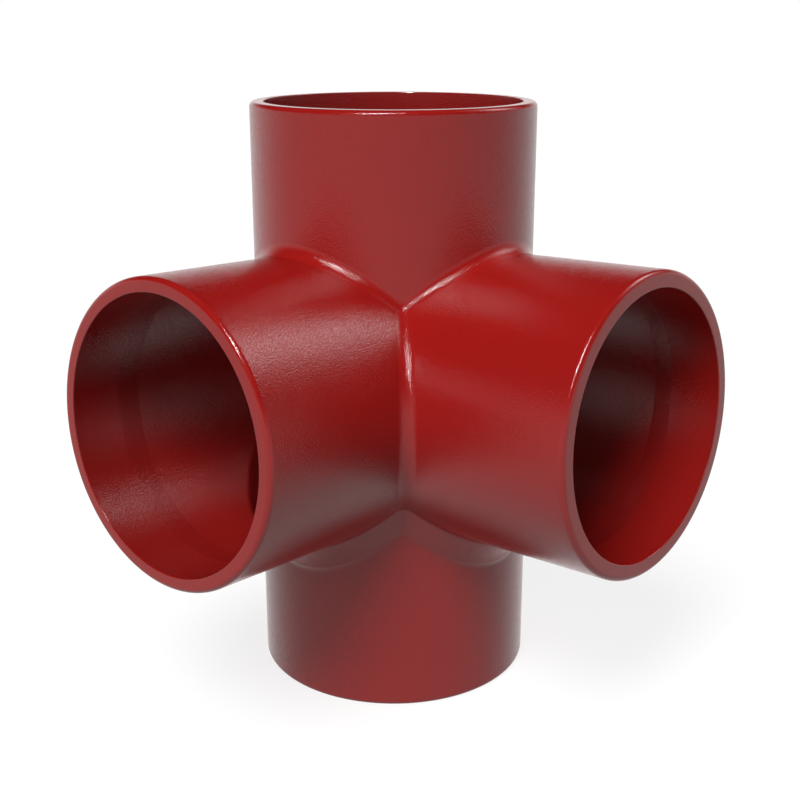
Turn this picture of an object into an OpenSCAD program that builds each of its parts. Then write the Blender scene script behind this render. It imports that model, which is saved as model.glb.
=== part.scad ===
// Corner branch fitting for cast-iron drain pipe.
// An upright run carries two equal branches at a right angle to each other, each rising a little
// outwards so that it drains into the run. All four ends are plain, and take a clamped sleeve.
// The real one is cast in one piece, so it is one solid here.
// The origin is the centre of the lower end, and +Z points up the run. The left branch points
// along -Y and the right branch along +X.

/* [Pipe] */
// Outside diameter of the run and of both branches
pipe_d = 110; // [90:1:120]
// Wall in the middle of the casting
wall = 4.5; // [3.5:0.1:5]
// Rise of each branch above level, in degrees
branch_rise = 2; // [0:0.5:3]

/* [Reach] */
// From the crossing of the axes down to the lower end
run_below = 120; // [110:1:200]
// From the crossing of the axes up to the upper end
run_above = 110; // [105:1:200]
// From the crossing of the axes to the left branch's mouth
left_reach = 120; // [112:1:200]
// From the crossing of the axes to the right branch's mouth
right_reach = 120; // [112:1:200]

/* [Ends] */
// Wall at the mouths of the run and of the left branch
end_wall = 5.4; // [5:0.1:7]
// Wall at the right branch's mouth
right_end_wall = 6.2; // [5:0.1:7]
// Length over which a mouth keeps its own wall
end_depth = 20; // [10:1:30]
// Length of the cone behind a mouth, where its wall thins to the casting's
end_taper = 10; // [5:1:12]
// Length of that cone in the right branch
right_end_taper = 8; // [5:1:12]
// Rounding of each end's outer edge
edge_r = 2; // [1:0.25:3]
// Length at each end that is held to the outside diameter, for its coupling
coupling_length = 40; // [30:1:44]
// How much less the radius is in the rest of the casting
body_relief = 0.1; // [0.05:0.05:0.3]
// Length of the cone between the two
relief_taper = 2; // [1.5:0.5:4]

/* [Blends] */
// Fillet between the outer surfaces
fillet_r = 5; // [3:0.5:6]
// How far the sloping inlet under each branch is set back from the outer corner
inlet_setback = 13; // [8:0.5:14]
// Wall of that inlet
inlet_wall = 3; // [2.5:0.1:4.5]
// Rounding of the inner edges
inner_edge_r = 4; // [2:0.5:5]

/* [Hidden] */
$fn = 180;

paint = "firebrick";
outer_r = pipe_d / 2;
body_r = outer_r - body_relief;
bore_r = outer_r - wall;
// How deep the edge of a blend is sunk below the pipe that it blends into
sunk = 0.05;
// How far a bore is cut past its end face
past = 1;
// Points nearer than this are one
near = 0.000001;

// Angle between two stations of a blend, and number of faces across it
outer_angle_step = 3.75;
outer_across = [4, 4];
inner_angle_step = 5;
inner_across = [3, 3];
// Steps over the ball-shaped patch where three blends meet, and over a rounded end
patch_steps = 2;
edge_steps = 8;
// Halvings in the search for an angle
halvings = 40;
// Distance from the crossing of the axes to the hidden points that close a blend's solid
core = 15;

// The blends are worked out in a branch's own directions: outwards, across towards the other
// branch, and up. A ball of the fillet's radius rolls in the corner between two surfaces, and
// the blend is the surface that it touches.

// Steepness of the planes in which the equal pipes meet, above and below the branch
rise_up = (1 + sin(branch_rise)) / cos(branch_rise);
rise_down = (1 - sin(branch_rise)) / cos(branch_rise);
// A branch's axis, and the direction square to it that points up
branch_axis = [cos(branch_rise), 0, sin(branch_rise)];
branch_up = [-sin(branch_rise), 0, cos(branch_rise)];
across = [0, 1, 0];
// The inlet's slope halves the angle between branch and run: its direction, and its normal
slope_size = sqrt(2 - 2 * sin(branch_rise));
slope = [1 - sin(branch_rise), 0, cos(branch_rise)] / slope_size;
slope_out = [cos(branch_rise), 0, sin(branch_rise) - 1] / slope_size;

// The setback inside that leaves the inlet its own wall
body_wall = body_r - bore_r;
inner_inlet_setback =
    body_wall + inlet_setback
    + (body_wall * slope_out[0] - inlet_wall) / (-slope_out[2] * rise_down);

function unit(v) = v / norm(v);
// The other branch's side, mirrored at the upright plane between the branches
function mirrored(v) = [v[1], v[0], v[2]];
// Directions from one to another in equal steps, and points of a ball in such directions
function fan(from, to, n) = [for (i = [0:n]) unit(from * (n - i) + to * i)];
function ball_points(centre, r, directions) = [for (d = directions) centre + r * d];
function turned(from, to, part) =
    [for (i = [0:len(from) - 1]) unit(from[i] * (1 - part) + to[i] * part)];

// A blend's sizes: [pipe radius, ball radius, inlet setback, angle step, faces across]
function pipe_r(b) = b[0];
function ball_r(b) = b[1];
function setback(b) = b[2];
function angle_step(b) = b[3];
function branch_side(b) = b[4][0];
function run_side(b) = b[4][1];
function faces_across(b) = branch_side(b) + 1 + run_side(b);
function ball_path_r(b) = pipe_r(b) + ball_r(b);

// Direction from the branch's axis at an angle from its top, towards the other branch
function round_branch(angle) = cos(angle) * branch_up + sin(angle) * across;

// Above the branch: the ball between branch and run, at an angle round the run
function upper_centre(b, angle) = ball_path_r(b) * [cos(angle), sin(angle), rise_up * cos(angle)];
function upper_fan(b, angle) =
    fan(-round_branch(angle), -[cos(angle), sin(angle), 0], faces_across(b));
function upper_section(b, angle) =
    ball_points(upper_centre(b, angle), ball_r(b), upper_fan(b, angle));

// Between the branches: the ball in the upright plane between them, at an angle from the top
function seam_centre(b, angle) =
    ball_path_r(b) * (round_branch(angle)
        + branch_axis * (sin(angle) + cos(angle) * sin(branch_rise)) / cos(branch_rise));
function seam_fan(b, angle) =
    let (to_branch = -round_branch(angle))
    fan(to_branch, unit(to_branch + mirrored(to_branch)), faces_across(b));
function seam_section(b, angle) = ball_points(seam_centre(b, angle), ball_r(b), seam_fan(b, angle));

// Below the branch: the sloping inlet, an elliptic surface between run and branch.
// Its lower edge on the run, and its normal, at an angle round the run
function inlet_edge(b, angle) =
    [pipe_r(b) * cos(angle), pipe_r(b) * sin(angle),
     -(pipe_r(b) + setback(b)) * rise_down * cos(angle)];
function inlet_depth(b) = inlet_edge(b, 0) * slope_out;
function inlet_out(b, angle) =
    unit(across * inlet_depth(b) * sin(angle) + slope_out * pipe_r(b) * cos(angle));
function inlet_width(b, angle) = setback(b) * cos(angle) * slope_size;
// A ball resting on the slope opposite its lower edge, and how far up the slope it then
// rolls until it also touches the run, or the other branch's slope
function resting(b, angle) = inlet_edge(b, angle) + ball_r(b) * inlet_out(b, angle);
function to_run(b, angle) =
    let (g = resting(b, angle))
    (sqrt(max(0, pow(ball_path_r(b), 2) - g[1] * g[1])) - g[0]) / slope[0];
function to_middle(b, angle) = let (g = resting(b, angle)) (g[1] - g[0]) / slope[0];
function run_ball(b, angle) = resting(b, angle) + slope * to_run(b, angle);
function middle_ball(b, angle) = resting(b, angle) + slope * to_middle(b, angle);
function branch_ball(b, angle) =
    resting(b, angle) + slope * (inlet_width(b, angle) - to_run(b, angle));

function away_from_branch(p) = unit(p - branch_axis * (p * branch_axis));
function branch_fan(b, angle) =
    fan(-away_from_branch(branch_ball(b, angle)), -inlet_out(b, angle), branch_side(b));
function run_fan(b, angle) =
    let (p = run_ball(b, angle)) fan(-inlet_out(b, angle), -unit([p[0], p[1], 0]), run_side(b));
function middle_fan(b, angle) =
    let (to_slope = -inlet_out(b, angle))
    fan(to_slope, unit(to_slope + mirrored(to_slope)), run_side(b));
function branch_part(b, angle) =
    ball_points(branch_ball(b, angle), ball_r(b), branch_fan(b, angle));
function lower_section(b, angle) =
    concat(branch_part(b, angle), ball_points(run_ball(b, angle), ball_r(b), run_fan(b, angle)));
function middle_section(b, angle) =
    concat(branch_part(b, angle),
           ball_points(middle_ball(b, angle), ball_r(b), middle_fan(b, angle)));

// The angle at which a ball reaches the plane between the branches, found by halving
function past_middle(p) = p[1] - p[0];
function run_corner(b, low = 20, high = 70, n = halvings) =
    n == 0 ? low
    : let (mid = (low + high) / 2) past_middle(run_ball(b, mid)) > 0
        ? run_corner(b, low, mid, n - 1)
        : run_corner(b, mid, high, n - 1);
function branch_corner(b, low = 20, high = 70, n = halvings) =
    n == 0 ? low
    : let (mid = (low + high) / 2) past_middle(branch_ball(b, mid)) > 0
        ? branch_corner(b, low, mid, n - 1)
        : branch_corner(b, mid, high, n - 1);

// Angles in near-equal steps, both ends included
function angles(from, to, size) =
    let (n = max(1, round(abs(to - from) / size))) [for (i = [0:n]) from + (to - from) * i / n];
function inner_parts() = [for (i = [1:patch_steps - 1]) i / patch_steps];

// The sections once round a branch: over its top from the back, down between the branches, and
// back along the inlet. Each runs from the branch to the run or to the plane between branches.
function over_sections(b) = [for (a = angles(-90, 45, angle_step(b))) upper_section(b, a)];
function top_patch(b) =
    [for (part = inner_parts())
        ball_points(upper_centre(b, 45), ball_r(b),
                    turned(upper_fan(b, 45), seam_fan(b, 45), part))];
function seam_end(b) =
    let (p = branch_ball(b, branch_corner(b))) atan2(p * across, p * branch_up);
function seam_sections(b) = [for (a = angles(45, seam_end(b), angle_step(b))) seam_section(b, a)];
function branch_patch(b) =
    let (end = seam_end(b), corner = branch_corner(b), p = seam_centre(b, end),
         below = concat(branch_fan(b, corner), middle_fan(b, corner)))
    [for (part = inner_parts()) ball_points(p, ball_r(b), turned(seam_fan(b, end), below, part))];
function middle_sections(b) =
    [for (a = angles(branch_corner(b), run_corner(b), angle_step(b))) middle_section(b, a)];
function run_patch(b) =
    let (corner = run_corner(b))
    [for (part = inner_parts())
        concat(branch_part(b, corner),
               ball_points(run_ball(b, corner), ball_r(b),
                           turned(middle_fan(b, corner), run_fan(b, corner), part)))];
function under_sections(b) = [for (a = angles(run_corner(b), -90, angle_step(b))) lower_section(b, a)];

// One solid of all the blends round both branches. Its inner faces run to points inside the
// pipes, so only the blends themselves show once it is joined with them.
module blends(b) {
    over = over_sections(b);
    middle = concat(top_patch(b), seam_sections(b), branch_patch(b), middle_sections(b), run_patch(b));
    sections = concat(over, middle, under_sections(b));
    rows = len(sections);
    row = faces_across(b) + 1;
    first_middle = len(over) - 1;
    last_middle = len(over) + len(middle);

    // Points that fall together are one: the first and last rows, and the poles of the patches
    function same(i, j, k, l) = norm(sections[i][j] - sections[k][l]) < near;
    function index(i, j) =
        i == 0 || i == rows - 1 ? 0
        : j > 0 && same(i, j, i, j - 1) ? index(i, j - 1)
        : same(i, j, i - 1, j) ? index(i - 1, j)
        : i * row + j;
    left_of = [for (i = [0:rows - 1]) [for (j = [0:row - 1]) index(i, j)]];
    // The right half shares the points in the plane between the branches
    right_of = [for (i = [0:rows - 1]) [for (j = [0:row - 1])
        j == row - 1 && i >= first_middle && i <= last_middle
            ? left_of[i][j] : left_of[i][j] + rows * row]];

    function whole(f) = f[0] != f[1] && f[1] != f[2] && f[2] != f[0];
    function triangles(at) =
        [for (i = [0:rows - 2]) for (j = [0:row - 2])
            for (f = [[at[i][j], at[i][j + 1], at[i + 1][j + 1]],
                      [at[i][j], at[i + 1][j + 1], at[i + 1][j]]])
                if (whole(f)) f];
    function flipped(faces) = [for (f = faces) [f[2], f[1], f[0]]];
    // A closed line of points joined to one hidden point
    function cone(line, tip) =
        [for (i = [0:len(line) - 2])
            let (f = [line[i], line[i + 1], tip]) if (whole(f)) f];
    left_line = [for (i = [0:rows - 1]) left_of[i][0]];
    right_line = [for (i = [0:rows - 1]) right_of[i][0]];
    run_line = concat(
        [for (i = [0:first_middle]) left_of[i][row - 1]],
        [for (i = [first_middle - 1:-1:0]) right_of[i][row - 1]],
        [for (i = [rows - 2:-1:last_middle]) right_of[i][row - 1]],
        [for (i = [last_middle + 1:rows - 1]) left_of[i][row - 1]]);

    left_points = [for (s = sections) for (p = s) [p[1], -p[0], p[2]]];
    right_points = [for (s = sections) for (p = s) [p[0], -p[1], p[2]]];
    left_tip = 2 * rows * row;
    tips = [[0, -core, 0], [core, 0, 0], [-core, core, 0]];
    polyhedron(
        points = concat(left_points, right_points, tips),
        faces = concat(
            triangles(left_of), flipped(triangles(right_of)),
            cone(left_line, left_tip), flipped(cone(right_line, left_tip + 1)),
            flipped(cone(run_line, left_tip + 2))),
        convexity = 10);
}

// Outside of one length of pipe from the crossing to its end: the body, the length that a
// coupling grips, and a rounded edge
module pipe_outside(reach) {
    rotate_extrude()
        polygon(concat(
            [[0, 0], [body_r, 0], [body_r, reach - coupling_length - relief_taper],
             [outer_r, reach - coupling_length]],
            [for (i = [0:edge_steps])
                let (angle = 90 * i / edge_steps)
                [outer_r - edge_r, reach - edge_r] + edge_r * [cos(angle), sin(angle)]],
            [[0, reach]]));
}

// Bore of one length of pipe, narrower at its mouth
module pipe_bore(reach, mouth_wall, taper) {
    mouth_r = outer_r - mouth_wall;
    rotate_extrude()
        polygon([[0, 0], [bore_r, 0], [bore_r, reach - end_depth - taper],
                 [mouth_r, reach - end_depth], [mouth_r, reach + past], [0, reach + past]]);
}

module along_left() { rotate([0, 90 - branch_rise, -90]) children(); }
module along_right() { rotate([0, 90 - branch_rise, 0]) children(); }

module outside() {
    pipe_outside(run_above);
    mirror([0, 0, 1]) pipe_outside(run_below);
    along_left() pipe_outside(left_reach);
    along_right() pipe_outside(right_reach);
    blends([body_r - sunk, fillet_r, inlet_setback, outer_angle_step, outer_across]);
}

module inside() {
    pipe_bore(run_above, end_wall, end_taper);
    mirror([0, 0, 1]) pipe_bore(run_below, end_wall, end_taper);
    along_left() pipe_bore(left_reach, end_wall, end_taper);
    along_right() pipe_bore(right_reach, right_end_wall, right_end_taper);
    blends([bore_r - sunk, inner_edge_r, inner_inlet_setback, inner_angle_step, inner_across]);
}

module corner_branch() {
    color(paint)
        translate([0, 0, run_below])
            difference() {
                outside();
                inside();
            }
}

corner_branch();
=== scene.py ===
import math
from collections import namedtuple

import bmesh
import bpy
from mathutils import Matrix, Vector


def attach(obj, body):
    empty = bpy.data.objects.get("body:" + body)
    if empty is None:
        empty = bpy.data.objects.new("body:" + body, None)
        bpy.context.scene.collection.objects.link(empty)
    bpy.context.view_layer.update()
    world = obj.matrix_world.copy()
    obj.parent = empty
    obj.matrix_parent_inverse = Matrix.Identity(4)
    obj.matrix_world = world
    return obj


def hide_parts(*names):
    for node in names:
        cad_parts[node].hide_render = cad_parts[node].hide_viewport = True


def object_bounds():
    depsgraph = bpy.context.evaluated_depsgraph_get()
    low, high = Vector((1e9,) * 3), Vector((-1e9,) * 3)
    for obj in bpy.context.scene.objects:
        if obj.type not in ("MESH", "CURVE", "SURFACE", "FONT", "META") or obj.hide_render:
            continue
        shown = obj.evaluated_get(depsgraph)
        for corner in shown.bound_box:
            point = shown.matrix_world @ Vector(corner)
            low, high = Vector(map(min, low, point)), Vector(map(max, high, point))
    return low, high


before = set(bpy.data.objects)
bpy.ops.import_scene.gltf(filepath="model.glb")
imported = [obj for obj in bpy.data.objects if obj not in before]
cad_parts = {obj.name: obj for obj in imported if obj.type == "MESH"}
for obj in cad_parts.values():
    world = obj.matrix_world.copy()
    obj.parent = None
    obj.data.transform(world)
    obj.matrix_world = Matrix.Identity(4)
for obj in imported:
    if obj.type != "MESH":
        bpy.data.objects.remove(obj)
cad_low, cad_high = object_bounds()


# Camera
# The photo is taken from in front of the corner between the branches, a little above them.
# It comes first, because the lights are placed round it.
MM = 0.001
CROSSING = Vector((0, 0, 120 * MM))
UP = Vector((0, 0, 1))
CAMERA_AZIMUTH = math.radians(41.605)
CAMERA_DISTANCE = 487.4 * MM
CAMERA_ABOVE_CROSSING = 141.9 * MM
CAMERA_YAW = math.radians(0.295)
CAMERA_PITCH = math.radians(17.355)
LENS_MM = 55.8
SENSOR_MM = 36


def photo_camera():
    """The camera at the photo's viewing angle."""
    level = Vector((-math.sin(CAMERA_AZIMUTH), math.cos(CAMERA_AZIMUTH), 0))
    sideways = Vector((math.cos(CAMERA_AZIMUTH), math.sin(CAMERA_AZIMUTH), 0))
    ahead = math.cos(CAMERA_YAW) * level + math.sin(CAMERA_YAW) * sideways
    right = math.cos(CAMERA_YAW) * sideways - math.sin(CAMERA_YAW) * level
    view = math.cos(CAMERA_PITCH) * ahead - math.sin(CAMERA_PITCH) * UP
    above = right.cross(view)
    data = bpy.data.cameras.new("photo_camera")
    data.lens = LENS_MM
    data.sensor_width = SENSOR_MM
    camera = bpy.data.objects.new("photo_camera", data)
    turned = Matrix((right, above, -view)).transposed().to_4x4()
    place = CROSSING - CAMERA_DISTANCE * level + CAMERA_ABOVE_CROSSING * UP
    camera.matrix_world = Matrix.Translation(place) @ turned
    bpy.context.scene.collection.objects.link(camera)
    bpy.context.scene.camera = camera


photo_camera()


# Red epoxy paint
# The casting is blasted and coated with red epoxy paint, inside and out. It gives the eye a deep
# red under a clear gloss that the grain of the sand mould breaks up; the cut ends are smooth.
PAINT_THIN = "#a01b18"
PAINT_THICK = "#a51c19"
# Painted shade: the bores' red is darker than the outside's and stands in for the little light that
# reaches deep into them
BORE_PAINTED_SHADE = "#8f1815"
PAINT_IOR = 1.6
ROUGHNESS_LEAST = 0.1
ROUGHNESS_MOST = 0.14
# Grain of the sand mould under the coat, and slow waves in the thickness of the coat
GRAIN_WIDTH = 0.5 * MM
GRAIN_DEPTH = 0.14 * MM
WAVE_WIDTH = 14 * MM
WAVE_DEPTH = 0.1 * MM
# Where a Mix node of colours takes its two colours and gives its result
MIX_A, MIX_B, MIX_RESULT = 6, 7, 2


def from_hex(text):
    """A linear colour from an sRGB hex value."""
    parts = [int(text[i:i + 2], 16) / 255 for i in (1, 3, 5)]
    return [c / 12.92 if c <= 0.04045 else ((c + 0.055) / 1.055) ** 2.4 for c in parts] + [1]


def add_node(tree, kind, inputs=None, **settings):
    """Adds a node, sets its properties, and gives its inputs values or links."""
    node = tree.nodes.new(kind)
    for name, value in settings.items():
        setattr(node, name, value)
    for name, value in (inputs or {}).items():
        if isinstance(value, bpy.types.NodeSocket):
            tree.links.new(value, node.inputs[name])
        else:
            node.inputs[name].default_value = value
    return node


def red_epoxy():
    """Red epoxy paint over cast iron, with painted shade in the bores. The piece's own attributes
    say where its grain shows and where its bores are."""
    material = bpy.data.materials.new("red_epoxy")
    material.use_nodes = True
    tree = material.node_tree
    tree.nodes.clear()
    place = add_node(tree, "ShaderNodeTexCoord").outputs["Object"]
    cast = add_node(tree, "ShaderNodeAttribute", attribute_name="grain").outputs["Fac"]
    bore_shade_mask = add_node(tree, "ShaderNodeAttribute", attribute_name="bore").outputs["Fac"]
    sand = add_node(tree, "ShaderNodeTexNoise",
                    {"Vector": place, "Scale": 1 / GRAIN_WIDTH, "Detail": 1}).outputs["Fac"]
    waves = add_node(tree, "ShaderNodeTexNoise",
                     {"Vector": place, "Scale": 1 / WAVE_WIDTH, "Detail": 2}).outputs["Fac"]
    grained = add_node(tree, "ShaderNodeBump", {"Strength": cast, "Distance": GRAIN_DEPTH,
                                                "Height": sand}).outputs["Normal"]
    waved = add_node(tree, "ShaderNodeBump", {"Strength": cast, "Distance": WAVE_DEPTH,
                                              "Height": waves, "Normal": grained}).outputs["Normal"]
    # The coat is a little lighter where it is thick, and the bores get a darker red as painted
    # shade
    outside = add_node(tree, "ShaderNodeMix",
                       {"Factor": waves, MIX_A: from_hex(PAINT_THIN), MIX_B: from_hex(PAINT_THICK)},
                       data_type="RGBA").outputs[MIX_RESULT]
    colour = add_node(tree, "ShaderNodeMix",
                      {"Factor": bore_shade_mask, MIX_A: outside, MIX_B: from_hex(BORE_PAINTED_SHADE)},
                      data_type="RGBA").outputs[MIX_RESULT]
    roughness = add_node(tree, "ShaderNodeMapRange",
                         {"Value": waves, "To Min": ROUGHNESS_LEAST,
                          "To Max": ROUGHNESS_MOST}).outputs["Result"]
    paint = add_node(tree, "ShaderNodeBsdfPrincipled",
                     {"Base Color": colour, "IOR": PAINT_IOR, "Roughness": roughness,
                      "Normal": waved})
    add_node(tree, "ShaderNodeOutputMaterial", {"Surface": paint.outputs["BSDF"]})
    return material


PAINT = red_epoxy()


# The four plain ends
# The fitting is one iron casting. Its ends have no sockets: each is a length of pipe with a
# rounded outer edge and a thicker wall at its mouth, and takes a clamped rubber sleeve.
OUTER_R = 55 * MM
WALL = 4.5 * MM
END_DEPTH = 20 * MM
EDGE_R = 2 * MM
MOUTH_EDGE_R = 0.4 * MM
RISE = math.radians(2)
END_SEGMENTS = 240
EDGE_STEPS = 8
# Distance from the crossing of the axes at which the ends meet the middle of the casting
JOINT = 75 * MM
# Points nearer to each other than this are one
NEAR = 0.002 * MM
# A face that looks inwards by more than this is in the bore
BORE_SLANT = -0.5

LEFT_AXIS = Vector((0, -math.cos(RISE), math.sin(RISE)))
RIGHT_AXIS = Vector((math.cos(RISE), 0, math.sin(RISE)))

End = namedtuple("End", "axis reach mouth_wall taper")
ENDS = [
    End(UP, cad_high.z - CROSSING.z, 5.4 * MM, 10 * MM),
    End(-UP, CROSSING.z - cad_low.z, 5.4 * MM, 10 * MM),
    End(LEFT_AXIS, 120 * MM, 5.4 * MM, 10 * MM),
    End(RIGHT_AXIS, 120 * MM, 6.2 * MM, 8 * MM),
]


def plain_end_tree():
    """A pipe end turned round +Z, from the joint to its end face and back along its bore."""
    tree = bpy.data.node_groups.new("plain_end", "GeometryNodeTree")
    for name in ("Outer Radius", "Joint", "Reach", "Wall", "Mouth Wall", "Mouth Depth", "Taper",
                 "Edge Rounding", "Mouth Edge Rounding"):
        tree.interface.new_socket(name, in_out="INPUT", socket_type="NodeSocketFloat")
    for name in ("Segments", "Edge Steps"):
        tree.interface.new_socket(name, in_out="INPUT", socket_type="NodeSocketInt")
    tree.interface.new_socket("Geometry", in_out="OUTPUT", socket_type="NodeSocketGeometry")
    given = add_node(tree, "NodeGroupInput").outputs

    # The profile's x is the distance outwards from the outer surface, and its y runs down
    def corner(inwards, along):
        place = add_node(tree, "ShaderNodeCombineXYZ", {"X": inwards, "Y": along}).outputs[0]
        return add_node(tree, "ShaderNodeVectorMath", {0: place, "Scale": -1},
                        operation="SCALE").outputs[0]

    zone_end = add_node(tree, "ShaderNodeMath", {0: given["Reach"], 1: given["Mouth Depth"]},
                        operation="SUBTRACT").outputs[0]
    taper_end = add_node(tree, "ShaderNodeMath", {0: zone_end, 1: given["Taper"]},
                         operation="SUBTRACT").outputs[0]
    corners = [
        corner(0.0, given["Joint"]),
        corner(0.0, given["Reach"]),
        corner(given["Mouth Wall"], given["Reach"]),
        corner(given["Mouth Wall"], zone_end),
        corner(given["Wall"], taper_end),
        corner(given["Wall"], given["Joint"]),
    ]
    index = add_node(tree, "GeometryNodeInputIndex").outputs[0]
    place = add_node(tree, "GeometryNodeIndexSwitch", data_type="VECTOR")
    rounding = add_node(tree, "GeometryNodeIndexSwitch", data_type="FLOAT")
    for switch in (place, rounding):
        tree.links.new(index, switch.inputs["Index"])
        while len(switch.index_switch_items) < len(corners):
            switch.index_switch_items.new()
    for i, point in enumerate(corners):
        tree.links.new(point, place.inputs[str(i)])
    tree.links.new(given["Edge Rounding"], rounding.inputs["1"])
    tree.links.new(given["Mouth Edge Rounding"], rounding.inputs["2"])

    line = add_node(tree, "GeometryNodeMeshLine", {"Count": len(corners)})
    curve = add_node(tree, "GeometryNodeMeshToCurve", {"Mesh": line.outputs[0]})
    profile = add_node(tree, "GeometryNodeSetPosition",
                       {"Geometry": curve.outputs[0], "Position": place.outputs[0]})
    rounded = add_node(tree, "GeometryNodeFilletCurve",
                       {"Curve": profile.outputs[0], "Radius": rounding.outputs[0],
                        "Count": given["Edge Steps"]}, mode="POLY")
    circle = add_node(tree, "GeometryNodeCurvePrimitiveCircle",
                      {"Resolution": given["Segments"], "Radius": given["Outer Radius"]})
    swept = add_node(tree, "GeometryNodeCurveToMesh",
                     {"Curve": circle.outputs[0], "Profile Curve": rounded.outputs[0]})
    merged = add_node(tree, "GeometryNodeMergeByDistance",
                      {"Geometry": swept.outputs[0], "Distance": NEAR})
    turned = add_node(tree, "GeometryNodeFlipFaces", {"Mesh": merged.outputs[0]})
    solid = add_node(tree, "GeometryNodeRealizeInstances", {"Geometry": turned.outputs[0]})
    painted = add_node(tree, "GeometryNodeSetMaterial",
                       {"Geometry": solid.outputs[0], "Material": PAINT})
    add_node(tree, "NodeGroupOutput", {"Geometry": painted.outputs[0]})
    return tree


END_TREE = plain_end_tree()


def end_faces(end):
    """The faces of one end. Each is a list of its corners' places, normals, grain (none on the
    cut face, growing over the rounded edge) and whether they are in the bore."""
    holder = bpy.data.objects.new("end", bpy.data.meshes.new("end"))
    bpy.context.scene.collection.objects.link(holder)
    made = holder.modifiers.new("plain_end", "NODES")
    made.node_group = END_TREE
    sizes = {"Outer Radius": OUTER_R, "Joint": JOINT, "Reach": end.reach, "Wall": WALL,
             "Mouth Wall": end.mouth_wall, "Mouth Depth": END_DEPTH, "Taper": end.taper,
             "Edge Rounding": EDGE_R, "Mouth Edge Rounding": MOUTH_EDGE_R,
             "Segments": END_SEGMENTS, "Edge Steps": EDGE_STEPS}
    for item in END_TREE.interface.items_tree:
        if item.in_out == "INPUT":
            made[item.identifier] = sizes[item.name]
    depsgraph = bpy.context.evaluated_depsgraph_get()
    mesh = bpy.data.meshes.new_from_object(holder.evaluated_get(depsgraph))
    bpy.data.objects.remove(holder)

    turned = end.axis.to_track_quat("Z", "Y").to_matrix()
    ball_r, ball_z = OUTER_R - EDGE_R, end.reach - EDGE_R
    faces = []
    for face in mesh.polygons:
        out = Vector((face.center.x, face.center.y, 0)).normalized()
        slant = Vector((face.normal.dot(out), face.normal.z))
        corners = []
        for i in face.vertices:
            p = mesh.vertices[i].co
            around = Vector((p.x, p.y, 0)).normalized()
            r = p.dot(around)
            if face.center.dot(out) > ball_r - NEAR and face.center.z > ball_z - NEAR:
                slant = Vector((r - ball_r, p.z - ball_z)).normalized()
            normal = around * slant.x + UP * slant.y
            grain = 1 if slant.y < NEAR else min(1, (end.reach - p.z) / EDGE_R)
            bore = 1 if slant.x < BORE_SLANT else 0
            corners.append((CROSSING + turned @ p, turned @ normal, grain, bore))
        faces.append(corners)
    bpy.data.meshes.remove(mesh)
    return faces


# The middle of the casting
# Run and branches meet in fillets, as a moulder rounds every inner corner of a pattern, and
# under each branch a sloping inlet leads its water down. The core leaves the same form inside.
# Each blend is the surface that a ball touches as it rolls in the corner between two surfaces.
FILLET_R = 5 * MM
INNER_EDGE_R = 4 * MM
INLET_SETBACK = 13 * MM
INLET_WALL = 3 * MM
BLEND_STEP = math.radians(1.5)
BALL_STEPS = 8
PATCH_STEPS = 8
# The angle at which a ball reaches the plane between the branches is looked for between these
CORNER_FROM = math.radians(20)
CORNER_TO = math.radians(70)
HALVINGS = 40
# A difference of squares under this, in square metres, is only rounding and stands for none
SMALL = 1e-9
# Length of the strip in which a pipe's uneven divisions change to an end's even ones
CHANGE_LENGTH = 1 * MM

# A branch's own directions are outwards, across towards the other branch, and up
RISE_UP = (1 + math.sin(RISE)) / math.cos(RISE)
RISE_DOWN = (1 - math.sin(RISE)) / math.cos(RISE)
BRANCH_AXIS = RIGHT_AXIS
BRANCH_UP = Vector((-math.sin(RISE), 0, math.cos(RISE)))
ACROSS = Vector((0, 1, 0))
SLOPE = (BRANCH_AXIS + UP).normalized()
SLOPE_OUT = Vector((SLOPE.z, 0, -SLOPE.x))
INNER_INLET_SETBACK = (
    WALL + INLET_SETBACK + (WALL * SLOPE_OUT.x - INLET_WALL) / (-SLOPE_OUT.z * RISE_DOWN))

Blend = namedtuple("Blend", "pipe ball setback")


def mirrored(v):
    """The same place or direction on the other branch's side."""
    return Vector((v.y, v.x, v.z))


def fan(start, end, steps):
    """Directions that turn from one to another."""
    return [(start * (steps - i) + end * i).normalized() for i in range(steps + 1)]


def turned_fan(start, end, part):
    """The fan that is part of the way from one fan to another."""
    return [(a * (1 - part) + b * part).normalized() for a, b in zip(start, end)]


def on_ball(centre, radius, directions):
    """Points of a ball, each with the direction in which the solid's surface faces there."""
    return [(centre + radius * d, -d) for d in directions]


def angles(start, end):
    """Even angles from one to another, about a blend step apart."""
    steps = max(1, round(abs(end - start) / BLEND_STEP))
    return [start + (end - start) * i / steps for i in range(steps + 1)]


def round_branch(angle):
    """The direction from a branch's axis at an angle from its top."""
    return math.cos(angle) * BRANCH_UP + math.sin(angle) * ACROSS


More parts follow.
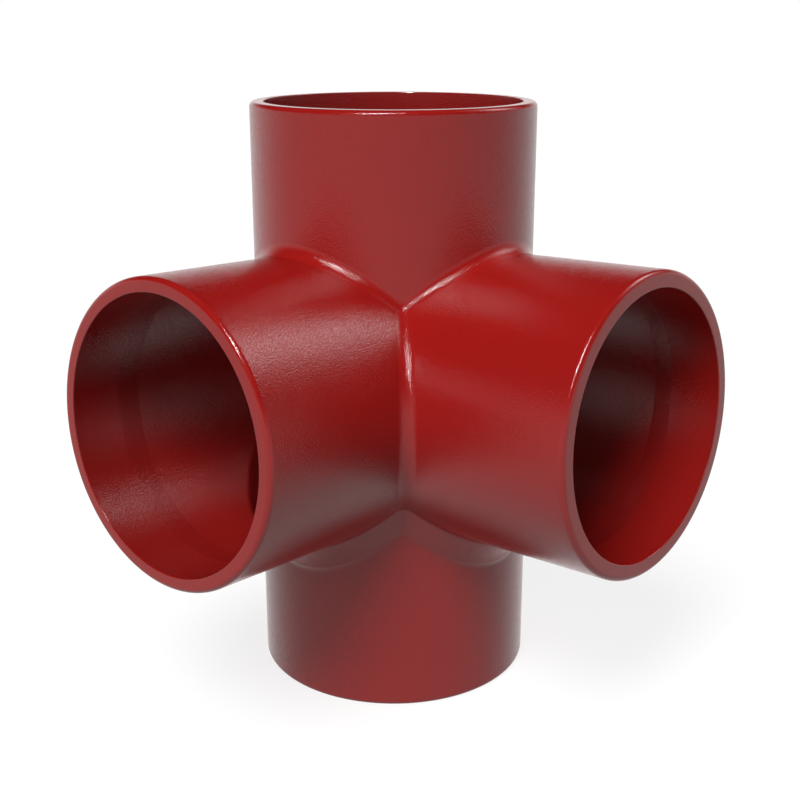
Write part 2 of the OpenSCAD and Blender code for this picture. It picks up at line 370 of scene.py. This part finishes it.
def blend_sections(blend):
    """The sections of the blends once round a branch: over its top from the back, down between
    the branches, and back along the inlet. Each runs from the branch to the run or, in the
    middle, to the upright plane between the branches."""
    path_r = blend.pipe + blend.ball
    # A section over the branch has as many points as the two fans of one under it
    across_steps = 2 * BALL_STEPS + 1

    def upper_centre(angle):
        return path_r * Vector((math.cos(angle), math.sin(angle), RISE_UP * math.cos(angle)))

    def upper_fan(angle):
        level = Vector((math.cos(angle), math.sin(angle), 0))
        return fan(-round_branch(angle), -level, across_steps)

    def seam_centre(angle):
        along = (math.sin(angle) + math.cos(angle) * math.sin(RISE)) / math.cos(RISE)
        return path_r * (round_branch(angle) + BRANCH_AXIS * along)

    def seam_fan(angle):
        to_branch = -round_branch(angle)
        return fan(to_branch, (to_branch + mirrored(to_branch)).normalized(), across_steps)

    def inlet_edge(angle):
        return Vector((blend.pipe * math.cos(angle), blend.pipe * math.sin(angle),
                       -(blend.pipe + blend.setback) * RISE_DOWN * math.cos(angle)))

    inlet_depth = inlet_edge(0).dot(SLOPE_OUT)

    def inlet_out(angle):
        return (ACROSS * inlet_depth * math.sin(angle)
                + SLOPE_OUT * blend.pipe * math.cos(angle)).normalized()

    def inlet_width(angle):
        return blend.setback * math.cos(angle) * (BRANCH_AXIS - UP).length

    def resting(angle):
        return inlet_edge(angle) + blend.ball * inlet_out(angle)

    def to_run(angle):
        g = resting(angle)
        left_over = path_r ** 2 - g.y ** 2
        return (math.sqrt(left_over if left_over > SMALL else 0) - g.x) / SLOPE.x

    def run_ball(angle):
        return resting(angle) + SLOPE * to_run(angle)

    def middle_ball(angle):
        g = resting(angle)
        return g + SLOPE * (g.y - g.x) / SLOPE.x

    def branch_ball(angle):
        return resting(angle) + SLOPE * (inlet_width(angle) - to_run(angle))

    def branch_fan(angle):
        p = branch_ball(angle)
        to_branch = -(p - BRANCH_AXIS * p.dot(BRANCH_AXIS)).normalized()
        return fan(to_branch, -inlet_out(angle), BALL_STEPS)

    def run_fan(angle):
        p = run_ball(angle)
        return fan(-inlet_out(angle), -Vector((p.x, p.y, 0)).normalized(), BALL_STEPS)

    def middle_fan(angle):
        to_slope = -inlet_out(angle)
        return fan(to_slope, (to_slope + mirrored(to_slope)).normalized(), BALL_STEPS)

    def branch_part(angle):
        return on_ball(branch_ball(angle), blend.ball, branch_fan(angle))

    def corner(ball):
        """The angle at which a ball reaches the plane between the branches."""
        low, high = CORNER_FROM, CORNER_TO
        for _ in range(HALVINGS):
            middle = (low + high) / 2
            p = ball(middle)
            low, high = (low, middle) if p.y > p.x else (middle, high)
        return low

    top = math.radians(45)
    back = math.radians(-90)
    branch_corner, run_corner = corner(branch_ball), corner(run_ball)
    p = branch_ball(branch_corner)
    seam_end = math.atan2(p.dot(ACROSS), p.dot(BRANCH_UP))
    inlet_end = branch_fan(branch_corner) + middle_fan(branch_corner)
    parts = [i / PATCH_STEPS for i in range(1, PATCH_STEPS)]

    over = [on_ball(upper_centre(a), blend.ball, upper_fan(a)) for a in angles(back, top)]
    middle = [on_ball(upper_centre(top), blend.ball,
                      turned_fan(upper_fan(top), seam_fan(top), part))
              for part in parts]
    middle += [on_ball(seam_centre(a), blend.ball, seam_fan(a)) for a in angles(top, seam_end)]
    middle += [on_ball(seam_centre(seam_end), blend.ball,
                       turned_fan(seam_fan(seam_end), inlet_end, part))
               for part in parts]
    middle += [branch_part(a) + on_ball(middle_ball(a), blend.ball, middle_fan(a))
               for a in angles(branch_corner, run_corner)]
    middle += [branch_part(run_corner)
               + on_ball(run_ball(run_corner), blend.ball,
                         turned_fan(middle_fan(run_corner), run_fan(run_corner), part))
               for part in parts]
    under = [branch_part(a) + on_ball(run_ball(a), blend.ball, run_fan(a))
             for a in angles(run_corner, back)]
    return over, middle, under


def pipe_to_joint(line, axis, radius):
    """Faces of a pipe from a closed line on it to the even ring at the joint."""
    start = axis.orthogonal().normalized()
    side = axis.cross(start)

    def angle_of(p):
        return math.atan2(p.dot(side), p.dot(start)) % math.tau

    def at(angle, along):
        out = math.cos(angle) * start + math.sin(angle) * side
        return (radius * out + along * axis, out)

    def closed(ring):
        return ring + [(ring[0][0] + math.tau, ring[0][1])]

    def moved(p, along):
        return (p + axis * (along - p.dot(axis)), (p - axis * p.dot(axis)).normalized())

    change = JOINT - CHANGE_LENGTH
    line = sorted((angle_of(p), p) for p in line)
    first = closed([(a, moved(p, p.dot(axis))) for a, p in line])
    second = closed([(a, moved(p, change)) for a, p in line])
    faces = [[first[i][1], first[i + 1][1], second[i + 1][1], second[i][1]]
             for i in range(len(line))]
    ring = [end_ring_angle(axis, i, angle_of) for i in range(END_SEGMENTS)]
    third = closed([(a, at(a, JOINT)) for a in sorted(ring)])
    i, j = 0, 0
    while i < len(second) - 1 or j < len(third) - 1:
        if j == len(third) - 1 or (i < len(second) - 1 and second[i + 1][0] <= third[j + 1][0]):
            faces.append([second[i][1], second[i + 1][1], third[j][1]])
            i += 1
        else:
            faces.append([second[i][1], third[j + 1][1], third[j][1]])
            j += 1
    return faces


def end_ring_angle(axis, i, angle_of):
    """The angle of one point of an end's ring, as the end's own turning places it."""
    turn = math.tau * i / END_SEGMENTS
    turned = axis.to_track_quat("Z", "Y").to_matrix()
    return angle_of(turned @ Vector((math.cos(turn), math.sin(turn), 0)))


def middle_faces(blend, facing):
    """The faces of the casting's middle, outside or, with facing -1, inside."""
    over, middle, under = blend_sections(blend)
    sections = over + middle + under
    faces = []

    def left(p):
        return Vector((p.y, -p.x, p.z))

    def right(p):
        return Vector((p.x, -p.y, p.z))

    for place in (left, right):
        for one, other in zip(sections, sections[1:]):
            for i in range(len(one) - 1):
                quad = (one[i], one[i + 1], other[i + 1], other[i])
                faces.append([(place(p), place(n)) for p, n in quad])
    for place, axis in ((left, LEFT_AXIS), (right, RIGHT_AXIS)):
        faces += pipe_to_joint([place(s[0][0]) for s in sections[:-1]], axis, blend.pipe)
    back = [Vector((-blend.pipe * math.sin(a), blend.pipe * math.cos(a), 0))
            for a in angles(0, math.radians(90))]
    for line, axis in ((over, UP), (under[::-1], -UP)):
        ends = [s[-1][0] for s in line]
        loop = [left(p) for p in ends] + [right(p) for p in ends[:-1]] + back[1:-1]
        faces += pipe_to_joint(loop, axis, blend.pipe)
    # All of it is as cast, so the grain shows in full
    grain = 1
    bore = 1 if facing < 0 else 0
    return [[(CROSSING + p, n * facing, grain, bore) for p, n in face] for face in faces]


def casting():
    """The whole fitting as one closed mesh with true normals."""
    faces = middle_faces(Blend(OUTER_R, FILLET_R, INLET_SETBACK), 1)
    faces += middle_faces(Blend(OUTER_R - WALL, INNER_EDGE_R, INNER_INLET_SETBACK), -1)
    for end in ENDS:
        faces += end_faces(end)

    shape = bmesh.new()
    true_normal = shape.loops.layers.float_vector.new("true_normal")
    grain = shape.loops.layers.float.new("grain")
    bore = shape.loops.layers.float.new("bore")
    for corners in faces:
        face = shape.faces.new([shape.verts.new(corner[0]) for corner in corners])
        for loop, corner in zip(face.loops, corners):
            loop[true_normal], loop[grain], loop[bore] = corner[1:]
    bmesh.ops.remove_doubles(shape, verts=shape.verts, dist=NEAR)
    bmesh.ops.recalc_face_normals(shape, faces=shape.faces)
    for face in shape.faces:
        face.smooth = True
    mesh = bpy.data.meshes.new("casting")
    shape.to_mesh(mesh)
    normals = [loop[true_normal].copy() for face in shape.faces for loop in face.loops]
    shape.free()
    mesh.normals_split_custom_set(normals)
    mesh.attributes.remove(mesh.attributes["true_normal"])
    mesh.materials.append(PAINT)
    piece = bpy.data.objects.new("casting", mesh)
    bpy.context.scene.collection.objects.link(piece)
    return piece


fitting = casting()
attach(fitting, "root")
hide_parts("corner_branch")


# Studio
# A plain pale floor among pale low walls, key lamps at the front left, and a lamp and a screen at
# the rear right. The dark room above leaves the upper sides of the bores dark. Lamps show in the
# paint's gloss, and the soft light round each group of them lights the paint's colour.
FLOOR_HALF = 40
FLOOR_GREY = 0.25
FLOOR_ROUGHNESS = 0.9
FLOOR_GLOW = 0.82
# Brightness of the pale surroundings at the camera's side and, from a part of the way round,
# behind the fitting
FRONT_BRIGHTNESS = 0.56
REAR_BRIGHTNESS = 0.9
REAR_FROM = 0.9
# Heights, as sines of the elevation, between which the pale surroundings give way to the dark
PALE_UP_TO = 0.1
DARK_FROM = 0.4
# How much of the surroundings' light reaches the paint's colour; all of it shows in the gloss
COLOUR_SHARE = 0.3

# A distant round light: its azimuth from the camera's side, its elevation and its width across
# in degrees, and its strength in W/m2
Light = namedtuple("Light", "name azimuth elevation spread strength")
LAMPS = [
    Light("key_lamp", -19, 52, 6, 1.25),
    Light("key_lamp_top", -3, 62, 7, 0.45),
    Light("key_lamp_low", -26, 44, 7, 0.4),
    Light("rear_lamp", 117, 40.5, 18, 0.27),
    Light("rear_screen", 116, 40, 40, 0.25),
]
SOFT_LIGHTS = [
    Light("key_soft", -21, 53, 24, 2.38),
    Light("fill", -28, 25, 50, 0.78),
    Light("rear_soft", 117, 40, 60, 0.75),
]


def studio_floor():
    """A pale floor for the eye only. The light it would send up is the world's."""
    mesh = bpy.data.meshes.new("floor")
    corners = [(-FLOOR_HALF, -FLOOR_HALF, 0), (FLOOR_HALF, -FLOOR_HALF, 0),
               (FLOOR_HALF, FLOOR_HALF, 0), (-FLOOR_HALF, FLOOR_HALF, 0)]
    mesh.from_pydata(corners, [], [(0, 1, 2, 3)])
    material = bpy.data.materials.new("pale_floor")
    material.use_nodes = True
    shader = material.node_tree.nodes["Principled BSDF"].inputs
    shader["Base Color"].default_value = (FLOOR_GREY, FLOOR_GREY, FLOOR_GREY, 1)
    shader["Roughness"].default_value = FLOOR_ROUGHNESS
    shader["Specular IOR Level"].default_value = 0
    shader["Emission Color"].default_value = (1, 1, 1, 1)
    shader["Emission Strength"].default_value = FLOOR_GLOW
    mesh.materials.append(material)
    floor = bpy.data.objects.new("floor", mesh)
    floor.visible_diffuse = False
    floor.visible_glossy = False
    floor.visible_shadow = False
    bpy.context.scene.collection.objects.link(floor)


def studio_world():
    """Light from the pale surroundings, more of it from behind the fitting. To the camera they
    are white."""
    world = bpy.data.worlds.new("studio")
    world.use_nodes = True
    tree = world.node_tree
    direction = add_node(tree, "ShaderNodeTexCoord").outputs["Generated"]
    height = add_node(tree, "ShaderNodeSeparateXYZ", {"Vector": direction}).outputs["Z"]
    behind = (-math.sin(CAMERA_AZIMUTH), math.cos(CAMERA_AZIMUTH), 0)
    away = add_node(tree, "ShaderNodeVectorMath", {0: direction, 1: behind},
                    operation="DOT_PRODUCT").outputs["Value"]
    brightness = add_node(tree, "ShaderNodeMapRange",
                          {"Value": away, "From Min": 0, "From Max": REAR_FROM,
                           "To Min": FRONT_BRIGHTNESS, "To Max": REAR_BRIGHTNESS},
                          interpolation_type="SMOOTHSTEP").outputs["Result"]
    low_only = add_node(tree, "ShaderNodeMapRange",
                        {"Value": height, "From Min": PALE_UP_TO, "From Max": DARK_FROM,
                         "To Min": 1, "To Max": 0},
                        interpolation_type="SMOOTHSTEP").outputs["Result"]
    shown = add_node(tree, "ShaderNodeMath", {0: brightness, 1: low_only},
                     operation="MULTIPLY").outputs[0]
    ray = add_node(tree, "ShaderNodeLightPath").outputs
    share = add_node(tree, "ShaderNodeMapRange",
                     {"Value": ray["Is Diffuse Ray"], "To Min": 1,
                      "To Max": COLOUR_SHARE}).outputs["Result"]
    lighting = add_node(tree, "ShaderNodeMath", {0: shown, 1: share},
                        operation="MULTIPLY").outputs[0]
    strength = add_node(tree, "ShaderNodeMath", {0: lighting, 1: ray["Is Camera Ray"]},
                        operation="MAXIMUM").outputs[0]
    background = tree.nodes["Background"].inputs
    background["Color"].default_value = (1, 1, 1, 1)
    tree.links.new(strength, background["Strength"])
    bpy.context.scene.world = world


def studio_light(light, in_gloss):
    """A distant round light that shows in the paint's gloss or else lights the paint's colour."""
    data = bpy.data.lights.new(light.name, "SUN")
    data.angle = math.radians(light.spread)
    data.energy = light.strength
    turn = CAMERA_AZIMUTH + math.radians(light.azimuth)
    rise = math.radians(light.elevation)
    level = Vector((math.sin(turn), -math.cos(turn), 0))
    towards = math.cos(rise) * level + math.sin(rise) * UP
    placed = bpy.data.objects.new(light.name, data)
    placed.rotation_euler = towards.to_track_quat("Z", "Y").to_euler()
    placed.visible_glossy = in_gloss
    placed.visible_diffuse = not in_gloss
    bpy.context.scene.collection.objects.link(placed)


studio_floor()
studio_world()
for lamp in LAMPS:
    studio_light(lamp, in_gloss=True)
for light in SOFT_LIGHTS:
    studio_light(light, in_gloss=False)
bpy.context.scene.view_settings.view_transform = "Standard"
